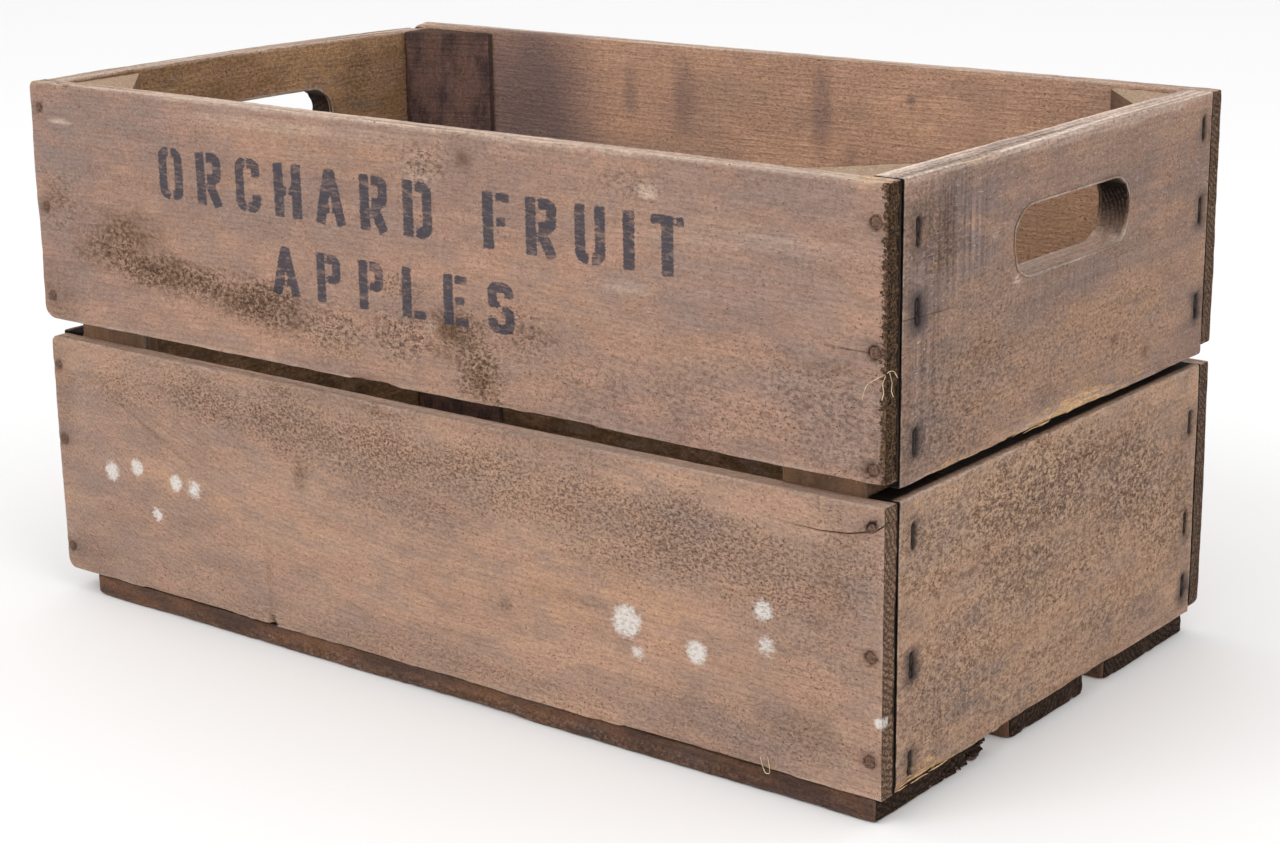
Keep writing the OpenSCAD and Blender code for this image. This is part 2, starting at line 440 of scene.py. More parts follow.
def buildBoard(chosen):
    piece = {**usual, **chosen}
    face, seed = piece["face"], piece["seed"]
    name = piece.get("name", camel(piece["node"]))
    low, high, size = boardSize(piece["node"], face)
    thick, length, height = size
    axisA, axisU, axisT = (axis for axis, sign in faces[face])
    slot, taper = piece["slot"], piece["taperTo"]
    flat, quads = blockSkin(piece, size)
    p = slotCorners(flat, slot) if slot else flat
    # worn edges: the radius wanders along each edge
    leastEdge, mostEdge = 0.5, 2.4
    wander = softNoise(flat, (34, 34, 34), seed) * 0.6 + softNoise(flat, (7, 7, 7), seed + 1) * 0.4
    radius = np.clip(piece["edge"] * (1 + 0.6 * wander), leastEdge, mostEdge)
    p, normal = easedEdges(p, size, radius)
    p = roundCorners(p, size, piece["corners"])
    t, a, u = flat.T
    depth = np.minimum(t, thick - t)
    onWall = np.zeros(len(p), bool)
    if slot:
        distance, onWall, normal = holeRims(p, normal, flat, thick, piece, wander)
    outer = t < thick / 2
    isEnd = np.abs(normal[:, 1]) > 0.7
    isTop = normal[:, 2] > 0.6
    grainPoint = p[:, [1, 2, 0]]
    ragged = 0.6 * softNoise(grainPoint, (16, 7, 7), seed + 11)
    ragged = ragged + 0.4 * softNoise(grainPoint, (5, 2.5, 2.5), seed + 12)
    speck = np.where(outer, spots(a, u, ragged, piece["speck"]), piece["speckInside"])
    speck = np.where(onWall | isEnd, 0, speck)

    # everything from here only carves, so the board stays inside its sawn size: soft waves, fibres,
    # crumbs where the specks are, rough ends and rough long edges
    nearEdge = 1 - ease(np.minimum(u, height - u), 0.5, 4)
    carve = np.zeros(len(p))
    for deep, cell, shift in (
        (0.22, (110, 38, 60), 2), (0.07, (30, 3.4, 3.4), 3), (0.05 + 0.16 * speck, (4.2, 2.6, 2.6), 4),
        (isEnd * piece["endRough"], (2.4, 2.4, 2.4), 5), (nearEdge * 0.12, (6, 2.5, 2.5), 13),
    ):
        carve += deep * (1 + softNoise(grainPoint, cell, seed + shift))
    gap = crackMarks(piece, a, u, outer & (np.abs(normal[:, 2]) < 0.7), carve)
    torn = chipMarks(piece, flat, grainPoint, carve)
    nails = nailPlaces(piece["nails"], face) - [low[axisA], low[axisU]] if piece["nails"] else ()
    rust, slit = nailMarks(piece, nails, a, u, outer, ragged, carve)
    p = p - normal * carve[:, None]
    # the lattice bends to each crack's path; a sagging top edge is pulled down
    bendReach, sagStart = 8, 0.55 * height
    for crack in piece["cracks"]:
        bend = np.interp(a, *np.array(crack["path"], float).T) - crack["up"]
        p[:, 2] += bend * np.exp(-(((u - crack["up"]) / bendReach) ** 2))
    if piece["sag"]:
        p[:, 2] -= np.interp(a, *np.array(piece["sag"], float).T) * ease(u, sagStart, height)
    p = np.clip(p, 0, size)
    if taper:
        full = np.interp(p[:, 2], [0, taper[0], height], [thick, thick, taper[1]])
        p[:, 0] *= full / thick

    ring, knot = yearRings(piece, a, u, t, outer, ragged)
    # the sawn end grain shows where the surface faces along the board; lower boards' tops get painted shade
    cut, shut = ease(np.abs(normal[:, 1]), 0.4, 0.9), isTop * ease(t, 2.5, 5) * piece["topShade"]
    # the second smallest of the distances to the faces is the distance to the nearest edge
    edgeGap = np.sort([np.minimum(a, length - a), np.minimum(u, height - u), depth], axis=0)[1]
    if slot:
        # painted shade in the hand hole: end walls dark at the top, fading into the sill and the rims
        fade = (0.4 + 0.6 * ease(u - slot[1], -12, 3)) * ease(depth, 0.3, 2.0)
        cut = np.where(onWall, cut * fade, cut)
        holeTopShade = 0.75 * ease(u - slot[1], 1, 12) * ease(depth, 0.3, 2.5) * ease(a, slot[0], slot[0] + 40)
        shut = shut + onWall * holeTopShade
        edgeGap = np.minimum(edgeGap, np.maximum(np.abs(distance), depth))
    dropLevel = np.full(len(p), -1.0)
    for dropA, dropU, r, strength in piece["splash"]:
        level = strength - np.hypot(a - dropA, (u - dropU) * 1.05) / r
        dropLevel = np.maximum(dropLevel, np.where(outer, level, -1))
    marked = {kind: spots(a, u, ragged, piece[kind]) * outer for kind in ("stain", "film", "warm", "pale")}
    fields = marked | {
        "ring": ring, "knot": knot, "speck": speck, "shut": shut, "cut": cut,
        # outside stains, and inside ones that include painted shade in the back-left corner
        "stain": np.maximum(marked["stain"], spots(a, u, ragged * 0.4, piece["stainAndShadeInside"]) * ~outer),
        "olive": spots(a, u, ragged, piece["oliveInside"]) * ~outer,
        # top faces and the hole's sill lightened: weathering plus painted highlight
        "pale": np.maximum(marked["pale"], isTop * np.where(onWall, 0.25, piece["topPaleAndHighlight"])),
        "rust": rust, "slit": slit, "splash": dropLevel, "torn": torn,
        "wear": (1 - ease(edgeGap, 0.3, 2.6)) * piece["wear"],
        "inner": ~outer & (np.abs(normal[:, 0]) > 0.5) & ~onWall,
        "gap": np.maximum(gap, seamShade(piece, a, u, t, size, ragged) * 0.75),
        "fray": outer * (1 - ease(length - a, 0, piece["fray"])),
    }
    if piece["stencil"]:
        fields["ink"] = np.where(outer & ~isEnd, stencilDistance(a, u, piece["stencil"]), -4)
    if turnedOver(face):
        quads = quads[:, ::-1]
    made = makeMesh(name, toWorld(p, low, high, face), [quads], fields)
    made.data.materials.append(woodFinish(name + "Wood", piece, (axisA, axisU, axisT)))
    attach(made, "root")
    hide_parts(piece["node"])
    print("built", name, 2 * len(quads), "triangles")


# plain block stencil: width, then bars, rounded rings and cut-away boxes on a letter one unit high
stem, topArm = ("bar", 0.14, 0, 0.14, 1), ("bar", 0.14, 0.92, 0.54, 0.92)
glyphs = {
    "O": (
        0.62, ("ring", 0.04, 0.0, 0.58, 1.0, 0.2), ("cut", 0.28, 0.7, 0.34, 1.1),
        ("cut", 0.28, -0.1, 0.34, 0.3),
    ),
    "R": (
        0.64, ("ring", 0.06, 0.42, 0.6, 1.0, 0.16), ("bar", 0.3, 0.48, 0.52, 0.0), stem,
        ("cut", 0.23, 0.4, 0.28, 1.1),
    ),
    "C": (
        0.6, ("ring", 0.04, 0.0, 0.58, 1.0, 0.2), ("cut", 0.36, 0.34, 0.8, 0.66),
        ("cut", 0.25, 0.7, 0.3, 1.1), ("cut", 0.25, -0.1, 0.3, 0.3),
    ),
    "H": (
        0.64, stem, ("bar", 0.52, 0, 0.52, 1), ("bar", 0.14, 0.5, 0.52, 0.5), ("cut", 0.31, 0.3, 0.36, 0.7),
    ),
    "A": (
        0.68, ("bar", 0.12, 0, 0.34, 1), ("bar", 0.57, 0, 0.34, 1), ("bar", 0.2, 0.28, 0.5, 0.28),
        ("cut", -0.1, 1.0, 1.0, 1.4), ("cut", 0.32, 0.1, 0.37, 0.5),
    ),
    "D": (
        0.64, ("ring", 0.04, 0.0, 0.6, 1.0, 0.24), ("bar", 0.13, 0, 0.13, 1),
        ("cut", 0.23, -0.1, 0.28, 1.1),
    ),
    "F": (0.56, stem, topArm, ("bar", 0.14, 0.5, 0.46, 0.5), ("cut", 0.24, 0.3, 0.29, 1.1)),
    "U": (
        0.62, ("ring", 0.05, 0.0, 0.59, 1.6, 0.22), ("cut", -0.2, 1.0, 1.0, 2.0),
        ("cut", 0.29, -0.1, 0.35, 0.3),
    ),
    "I": (0.28, stem),
    "T": (0.56, ("bar", 0.28, 0, 0.28, 1), ("bar", 0.0, 0.92, 0.56, 0.92), ("cut", 0.38, 0.7, 0.43, 1.1)),
    "P": (0.6, ("ring", 0.05, 0.4, 0.58, 1.0, 0.16), stem, ("cut", 0.23, 0.3, 0.28, 1.1)),
    "L": (0.54, stem, ("bar", 0.14, 0.08, 0.54, 0.08), ("cut", 0.24, -0.1, 0.29, 0.3)),
    "E": (
        0.58, stem, topArm, ("bar", 0.14, 0.08, 0.56, 0.08), ("bar", 0.14, 0.5, 0.48, 0.5),
        ("cut", 0.24, -0.1, 0.29, 1.1),
    ),
    "S": (
        0.6, ("ring", 0.04, 0.44, 0.56, 1.0, 0.18), ("cut", 0.3, 0.5, 0.8, 0.72),
        ("ring", 0.04, 0.0, 0.57, 0.56, 0.18), ("cut", -0.1, 0.28, 0.3, 0.5),
        ("cut", 0.28, 0.35, 0.33, 0.65),
    ),
    " ": (0.42,),
}


def barDistance(x, y, x0, y0, x1, y1, half):
    # signed distance to a flat-ended bar, minus inside
    length = np.hypot(x1 - x0, y1 - y0)
    dirX, dirY = (x1 - x0) / length, (y1 - y0) / length
    along = np.abs((x - (x0 + x1) / 2) * dirX + (y - (y0 + y1) / 2) * dirY) - length / 2
    across = np.abs((y - (y0 + y1) / 2) * dirX - (x - (x0 + x1) / 2) * dirY) - half
    return np.maximum(along, across)


def ringDistance(x, y, x0, y0, x1, y1, r, half):
    # signed distance to a band inside the outline of a rounded box
    qx = np.abs(x - (x0 + x1) / 2) - ((x1 - x0) / 2 - half - r)
    qy = np.abs(y - (y0 + y1) / 2) - ((y1 - y0) / 2 - half - r)
    box = np.hypot(np.maximum(qx, 0), np.maximum(qy, 0)) + np.minimum(np.maximum(qx, qy), 0) - r
    return np.abs(box) - half


def cutDistance(x, y, x0, y0, x1, y1):
    # a box taken away
    return -np.maximum(np.abs(x - (x0 + x1) / 2) - (x1 - x0) / 2, np.abs(y - (y0 + y1) / 2) - (y1 - y0) / 2)


def stencilDistance(a, u, text):
    # plus inside the letters, minus outside, in millimetres
    half = text["stroke"]
    total = np.full(len(a), -4.0)
    for words, left, base, tall, wide in text["lines"]:
        spans = [glyphs[c][0] * text["stretch"] for c in words]
        gap = (wide / tall - sum(spans)) / (len(words) - 1)
        x = left
        for c, span in zip(words, spans):
            near = (a > x - 6) & (a < x + span * tall + 6) & (u > base - 6) & (u < base + tall + 6)
            gx, gy = (a[near] - x) / tall / text["stretch"], (u[near] - base) / tall
            d = np.full(near.sum(), 1.0)
            for kind, *v in glyphs[c][1:]:
                if kind == "bar":
                    d = np.minimum(d, barDistance(gx, gy, *v, half * (0.8 if v[1] == v[3] else 1)))
                elif kind == "ring":
                    d = np.minimum(d, ringDistance(gx, gy, *v[:4], v[4] * 0.5, half * 0.92))
                else:
                    d = np.maximum(d, cutDistance(gx, gy, *v))
            total[near] = np.maximum(total[near], -d * tall)
            x += (span + gap) * tall
    return total


def put(tree, value, socket):
    # numbers and colours go on the socket itself, anything else is linked
    if isinstance(value, (int, float)):
        socket.default_value = value
    elif isinstance(value, tuple):
        socket.default_value = value[: len(socket.default_value)]
    else:
        tree.links.new(value, socket)


def calc(tree, operation, *values, clamp=False):
    node = tree.nodes.new("ShaderNodeMath")
    node.operation = operation
    node.use_clamp = clamp
    for value, socket in zip(values, node.inputs):
        put(tree, value, socket)
    return node.outputs[0]


def weighted(tree, start, *terms):
    # start plus each (value - 0.5) times its gain
    total = start - 0.5 * sum(gain for value, gain in terms)
    for value, gain in terms:
        total = calc(tree, "MULTIPLY_ADD", value, gain, total)
    return total


def blend(tree, factor, a, b, kind="MIX"):
    node = tree.nodes.new("ShaderNodeMix")
    node.data_type = "RGBA"
    node.blend_type = kind
    for value, socket in ((factor, node.inputs[0]), (a, node.inputs[6]), (b, node.inputs[7])):
        put(tree, value, socket)
    return node.outputs[2]


def shaded(tree, colour, amount):
    # colour times a number
    node = tree.nodes.new("ShaderNodeVectorMath")
    node.operation = "SCALE"
    put(tree, colour, node.inputs[0])
    put(tree, amount, node.inputs["Scale"])
    return node.outputs[0]


def remap(tree, value, low, high, out0=0.0, out1=1.0):
    node = tree.nodes.new("ShaderNodeMapRange")
    node.interpolation_type = "SMOOTHSTEP"
    for v, socket in zip((value, low, high, out0, out1), node.inputs):
        put(tree, v, socket)
    return node.outputs[0]


def grainNoise(tree, space, cell, detail=2.0, rough=0.55, shift=0.0):
    # noise whose blobs are cell millimetres long, wide and deep
    scale = tree.nodes.new("ShaderNodeMapping")
    scale.inputs["Scale"].default_value = [1 / c for c in cell]
    scale.inputs["Location"].default_value = (shift, shift * 0.7, shift * 1.3)
    tree.links.new(space, scale.inputs[0])
    noise = tree.nodes.new("ShaderNodeTexNoise")
    noise.inputs["Scale"].default_value = 1.0
    noise.inputs["Detail"].default_value = detail
    noise.inputs["Roughness"].default_value = rough
    tree.links.new(scale.outputs[0], noise.inputs["Vector"])
    return noise.outputs[0]


def field(tree, name):
    node = tree.nodes.new("ShaderNodeAttribute")
    node.attribute_name = name
    return node.outputs["Fac"]


def grainSpace(tree, order, shift):
    # object coordinates in millimetres, re-ordered to along, across and through the grain
    coords = tree.nodes.new("ShaderNodeTexCoord")
    split = tree.nodes.new("ShaderNodeSeparateXYZ")
    tree.links.new(coords.outputs["Object"], split.inputs[0])
    join = tree.nodes.new("ShaderNodeCombineXYZ")
    for place, axis in enumerate(order):
        tree.links.new(split.outputs[axis], join.inputs[place])
    scaled = tree.nodes.new("ShaderNodeMapping")
    scaled.inputs["Scale"].default_value = (1 / mm,) * 3
    scaled.inputs["Location"].default_value = (shift * 171.0, shift * 53.0, shift * 37.0)
    tree.links.new(join.outputs[0], scaled.inputs[0])
    return scaled.outputs[0]


def newFinish(name):
    material = bpy.data.materials.new(name)
    material.use_nodes = True
    return material, material.node_tree, material.node_tree.nodes["Principled BSDF"]


def addBump(tree, shader, height, strength, distance):
    bump = tree.nodes.new("ShaderNodeBump")
    bump.inputs["Strength"].default_value = strength
    bump.inputs["Distance"].default_value = distance * mm
    tree.links.new(height, bump.inputs["Height"])
    tree.links.new(bump.outputs[0], shader.inputs["Normal"])


def woodFinish(name, piece, order):
    look = {key: srgb(*value) if isinstance(value, tuple) else value for key, value in piece["look"].items()}
    material, tree, shader = newFinish(name)
    space = grainSpace(tree, order, piece["seed"] % 17)
    at, ramp, noise = partial(field, tree), partial(remap, tree), partial(grainNoise, tree, space)
    times, plus = partial(calc, tree, "MULTIPLY"), partial(calc, tree, "MULTIPLY_ADD")
    over, weigh = partial(blend, tree), partial(weighted, tree)

    def laid(base, kind, grain, *spread):
        # the look's colour laid over where its field is high, broken up by a noise
        return over(times(at(kind), ramp(grain, *spread)), base, look[kind])

    mottle = noise((85, 32, 32), 5, 0.6)
    cloud = noise((22, 9, 9), 4, 0.62, 5)
    streak = noise((130, 4.5, 4.5), 3, 0.55, 9)
    fibre = noise((12, 0.85, 0.85), 4, 0.7, 3)
    grit = noise((1.5, 1.0, 1.0), 3, 0.85, 7)
    rough = noise([look["crumb"] * side for side in (1.35, 1, 1)], 3, 0.72, 25)
    fleck = noise((3.4, 1.0, 1.0), 3, 0.75, 17)
    patch = noise((30, 13, 13), 4, 0.58, 13)
    smear = noise((34, 13, 13), 4, 0.62, 29)
    saw = noise((1.7, 60, 60), 2, 0.6, 61)
    # year rings: each darkens slowly across the ring, then stops short
    wobble = noise((45, 7, 7), 3, 0.6, 11)
    ring = calc(tree, "FRACT", plus(wobble, 1.3, at("ring")))
    late = times(ramp(ring, 0.35, 0.86), ramp(ring, 0.88, 1.0, 1.0, 0.0))
    lateShown = times(late, ramp(cloud, 0.3, 0.6, 0.35, 1.0))

    # body colour: grey-mauve and tan in soft patches, another pair on the inner side, then films and wear
    colour = over(ramp(mottle, 0.38, 0.62), look["dark"], look["light"])
    colour = over(ramp(cloud, 0.42, 0.66, 0.0, look["cloudy"]), colour, look["cloudColour"])
    colour = laid(colour, "warm", smear, 0.36, 0.58, 0.3, 1.0)
    inside = over(ramp(mottle, 0.4, 0.62), look["innerDark"], look["innerLight"])
    colour = over(at("inner"), colour, laid(inside, "olive", cloud, 0.35, 0.6, 0.5, 1.0))
    colour = over(ramp(patch, 0.48, 0.62, 0.0, look["patchy"]), colour, look["rosy"])
    colour = over(ramp(patch, 0.38, 0.52, look["patchy"], 0.0), colour, look["ashy"])
    colour = laid(colour, "film", cloud, 0.36, 0.6, 0.3, 1.0)
    # pale patches, and on the top faces weathering plus painted highlight
    colour = laid(colour, "pale", streak, 0.35, 0.58, 0.4, 1.0)
    colour = laid(colour, "wear", cloud, 0.4, 0.62, 0.1, 0.7)

    # shade: 1 plus each noise's distance from its middle; saw marks show most where the film is thick
    shade = weigh(
        1.0, (streak, look["streak"]), (fibre, look["fibre"]), (grit, look["grit"]),
        (saw, 0.16 * look["saw"]), (lateShown, -look["rings"]), (cloud, look["blotch"]),
        (rough, look["rough"]),
    )
    shade = plus(weigh(0.0, (saw, 2.5 * look["saw"])), times(at("film"), at("film")), shade)
    shade = plus(weigh(0.0, (streak, 1.3), (fibre, 1.1), (rough, 0.9)), at("pale"), shade)
    colour = shaded(tree, colour, shade)
    colour = over(ramp(fleck, 0.6, 0.74, 0.0, look["fleck"]), colour, look["pale"])
    colour = over(ramp(fleck, 0.27, 0.39, look["fleck"], 0.0), colour, look["speckColour"])
    # rough zones: low crumbs take the speck colour, partly dark grit and partly painted shade in the hollows
    crust = times(at("speck"), ramp(rough, 0.34, 0.53, look["crust"], 0.0))
    colour = over(crust, colour, look["speckColour"])
    # raised fibres lightened: partly pale fibre tips, partly painted highlight
    raised = times(at("speck"), ramp(rough, 0.48, 0.64, 0.0, look["bumps"]))
    colour = over(raised, colour, look["raised"])

    # knots: dark rim round a ringed heart
    knot = at("knot")
    knotRing = calc(tree, "FRACT", times(plus(fibre, 0.25, knot), 3.0))
    knotColour = over(knotRing, look["knotDark"], look["knotLight"])
    colour = over(ramp(knot, 0.5, 1.2, 0.55, 0.0), colour, knotColour)
    halo = times(ramp(knot, 0.7, 2.6, 0.45, 0.0), ramp(cloud, 0.35, 0.6))
    colour = over(halo, colour, look["knotDark"])

    # dirt: brown stain, inside partly painted shade in the back-left corner, and dark torn pits that crowd
    # together where the speck field is high, their darkness partly painted shade
    crumbs = ramp(rough, 0.36, 0.62, 1.15, look["dirtLow"])
    dirt = times(ramp(cloud, 0.34, 0.58, look["dirtLow"], 1.0), crumbs)
    colour = over(times(at("stain"), dirt), colour, look["stainColour"])
    crowd = plus(at("speck"), 0.095, noise((1.35, 1.05, 1.05), 3, 0.8, 21))
    pit = ramp(plus(patch, 0.16, crowd), look["pitLevel"], look["pitLevel"] + 0.1)
    colour = over(times(pit, look["pitDepth"]), colour, look["speckColour"])

    # sawn end grain, the face next to a ragged end torn back in dark bays, and fresh torn fibres
    cutNoise = noise((1.3, 1.1, 1.1), 3, 0.8, 31)
    cutShade = ramp(plus(late, look["cutRings"], cutNoise), 0.4, 0.66)
    cutColour = over(cutShade, look["cutDark"], look["cutLight"])
    colour = over(times(at("cut"), 0.95), colour, cutColour)
    colour = over(ramp(plus(rough, 2.6, at("fray")), 1.72, 1.9, 0.0, 0.92), colour, cutColour)
    tornColour = over(ramp(fibre, 0.4, 0.6), look["tornDark"], look["tornLight"])
    colour = over(times(at("torn"), ramp(rough, 0.4, 0.52, 0.15, 1.0)), colour, tornColour)
    # painted shade at the top of the hand hole and on the lower boards' top faces
    colour = over(at("shut"), colour, look["gapColour"])

    # iron stain round the fasteners, painted shade in their seats, then cracks and seam shade
    colour = laid(colour, "rust", cloud, 0.3, 0.6, 0.45, 1.0)
    colour = over(times(at("slit"), 0.95), colour, look["gapColour"])
    colour = over(ramp(at("gap"), 0.25, 0.8, 0.0, 0.9), colour, look["gapColour"])

    # dried white drops with feathered edges
    drop = ramp(plus(noise((2.6, 1.6, 1.6), 3, 0.7, 41), 0.95, at("splash")), 0.45, 0.84)
    colour = over(times(drop, ramp(rough, 0.34, 0.54, 0.5, 1.0)), colour, look["splash"])

    if piece["stencil"]:
        # paint inside the letters, with ragged edges, worn off the raised fibres
        ink = ramp(plus(noise((2.6, 0.9, 0.9), 3, 0.7, 51), 2.0, at("ink")), 0.75, 1.2)
        ink = times(ink, ramp(noise((7, 2.4, 2.4), 4, 0.72, 53), 0.32, 0.52, 0.4, 0.95))
        colour = over(times(ink, ramp(fibre, 0.34, 0.46, 0.75, 1.0)), colour, look["ink"])

    tree.links.new(colour, shader.inputs["Base Color"])
    tree.links.new(ramp(fibre, 0.2, 0.8, 0.74, 0.95), shader.inputs["Roughness"])
    shader.inputs["Specular IOR Level"].default_value = 0.12

    # surface: fibres stand up, pits and saw marks sink
    height = weigh(0.0, (fibre, 0.6), (grit, 0.9), (lateShown, 0.25), (pit, -1.0), (saw, look["saw"]))
    height = plus(rough, plus(at("speck"), 1.7, 0.6), height)
    height = plus(times(cutNoise, at("cut")), 3.0, height)
    addBump(tree, shader, height, 1.0, 0.6)
    return material


def twoToneFinish(name, dark, light, kind):
    # two colours mixed by one noise, which also roughens and lifts the surface
    material, tree, shader = newFinish(name)
    space = grainSpace(tree, (0, 1, 2), kind["shift"])
    tone = grainNoise(tree, space, (kind["cell"],) * 3, kind["detail"], kind["rough"])
    colour = blend(tree, remap(tree, tone, 0.5 - kind["half"], 0.5 + kind["half"]), srgb(*dark), srgb(*light))
    tree.links.new(colour, shader.inputs["Base Color"])
    tree.links.new(remap(tree, tone, 0.3, 0.7, *kind["roughness"]), shader.inputs["Roughness"])
    shader.inputs["Metallic"].default_value = kind["metallic"]
    addBump(tree, shader, tone, *kind["bump"])
    return material


# every colour in a look is a display colour, 0..255
baseLook = dict(
    light=(160, 128, 110), dark=(144, 117, 104), warm=(172, 134, 108), cloudy=0.4,
    cloudColour=(150, 125, 110), film=(132, 115, 108), streak=0.25, fibre=0.5, grit=1.3, rings=0.08,
    blotch=0.4, rough=0.6, fleck=0.6, saw=0.0, patchy=0.42, rosy=(178, 139, 119), ashy=(144, 121, 111),
    crumb=1.5, crust=0.66, bumps=0.68, dirtLow=0.45, innerDark=(136, 105, 84), innerLight=(160, 124, 98),
    olive=(164, 128, 78), knotDark=(92, 68, 55), knotLight=(120, 91, 74), raised=(186, 154, 130),
    stainColour=(98, 74, 58), pitLevel=0.7, pitDepth=0.62, speckColour=(92, 68, 52), pale=(194, 171, 154),
    wear=(174, 154, 140), cutDark=(44, 31, 24), cutLight=(104, 80, 62), cutRings=-0.12,
    # the gap colour darkens cracks and seams, and is the painted shade in the hand hole, on lower tops and in
    # nail seats
    tornDark=(166, 126, 88), tornLight=(212, 176, 132), rust=(84, 64, 56), gapColour=(22, 15, 11),
    splash=(216, 209, 202), ink=(68, 65, 72),
)

# each line: words, left, base, letter height and full width in millimetres
stencil = dict(
    lines=[("ORCHARD FRUIT", 91, 70.5, 25, 312), ("APPLES", 165, 34, 23, 148)], stroke=0.1, stretch=1.2,
)

frontUpperBoard = dict(
    node="front_upper_board", face="front", seed=11, step=1.3, pith=(-60, 60), ringWidth=2.3, endRough=0.9,
    fray=6, drift=[(0, 4), (180, 0), (300, -5), (500, 2)], corners={(-1, -1): 7, (-1, 1): 4},
    nails="front_upper_nails", stencil=stencil, knots=[(273, 31, 6), (285, 108, 3.5)],
    cracks=[
        dict(
            up=52.6, start=464, stop=494, fade=(16, 4), width=0.3, depth=0.5, dark=0.6,
            path=[(460, 52), (480, 52.6), (500, 52.6)],
        ),
    ],
    chips=[
        (16, 120, 0, 14, 4, 4, 1.2, 0.3), (330, 0, 0, 40, 3, 4, 0.8, 0.0), (226, 0, 0, 18, 3, 4, 1.0, 0.0),
        (492, 121.5, 2, 10, 5, 8, 0.5, 0.8),
    ],
    speck=[
        (57, 42, 26, 14, 0.75), (81, 34, 30, 11, 1.0), (115, 33, 34, 10, 0.95), (157, 28, 38, 13, 1.0),
        (202, 22, 34, 14, 0.7), (245, 24, 28, 14, 0.8), (292, 16, 20, 18, 1.0), (280, 30, 18, 14, 0.85),
        (315, 36, 28, 14, 0.5), (358, 20, 60, 24, 0.25), (411, 22, 60, 24, 0.3), (470, 28, 44, 26, 0.42),
        (488, 10, 26, 16, 0.4), (246, 46, 14, 8, 0.5), (262, 103, 15, 10, 0.6), (20, 60, 20, 20, 0.3),
        (378, 106, 20, 8, 0.4), (330, 90, 10, 6, 0.4),
    ],
    stain=[
        (69, 50, 28, 16, 0.95), (48, 40, 26, 13, 0.6), (95, 35, 44, 11, 0.85), (155, 27, 44, 12, 0.8),
        (280, 28, 18, 14, 0.6), (292, 12, 13, 14, 0.85), (10, 12, 22, 18, 0.5), (14, 62, 16, 6, 0.5),
        (262, 36, 20, 7, 0.4), (470, 44, 26, 4, 0.4), (320, 36, 26, 5, 0.35),
    ],
    film=[
        (18, 90, 34, 30, 0.8), (60, 104, 60, 18, 0.6), (20, 30, 20, 44, 0.5), (170, 70, 80, 14, 0.3),
        (390, 60, 50, 18, 0.5), (431, 76, 50, 26, 0.5), (462, 112, 50, 14, 0.5), (470, 40, 40, 30, 0.45),
        (250, 38, 30, 10, 0.4), (380, 100, 50, 10, 0.3),
    ],
    warm=[
        (200, 104, 90, 12, 0.6), (120, 84, 70, 10, 0.3), (330, 60, 90, 20, 0.4), (230, 14, 130, 8, 0.45),
        (370, 44, 70, 12, 0.4), (470, 62, 30, 6, 0.3),
    ],
    pale=[
        (385, 104, 6, 4, 0.6), (300, 120, 260, 3, 0.5), (263, 34, 5, 8, 0.5), (24, 101, 9, 1.5, 0.9),
        (262, 100, 15, 12, 0.3), (200, 112, 120, 5, 0.25), (430, 90, 60, 8, 0.2), (487, 120, 12, 3, 0.8),
        (374, 63, 14, 3, 0.3),
    ],
    look=dict(
        baseLook, stainColour=(104, 77, 57), speckColour=(60, 42, 31), crumb=2.0, crust=0.85, bumps=0.75,
        cutDark=(27, 19, 14), cutLight=(120, 90, 62), cutRings=-0.02,
    ),
)

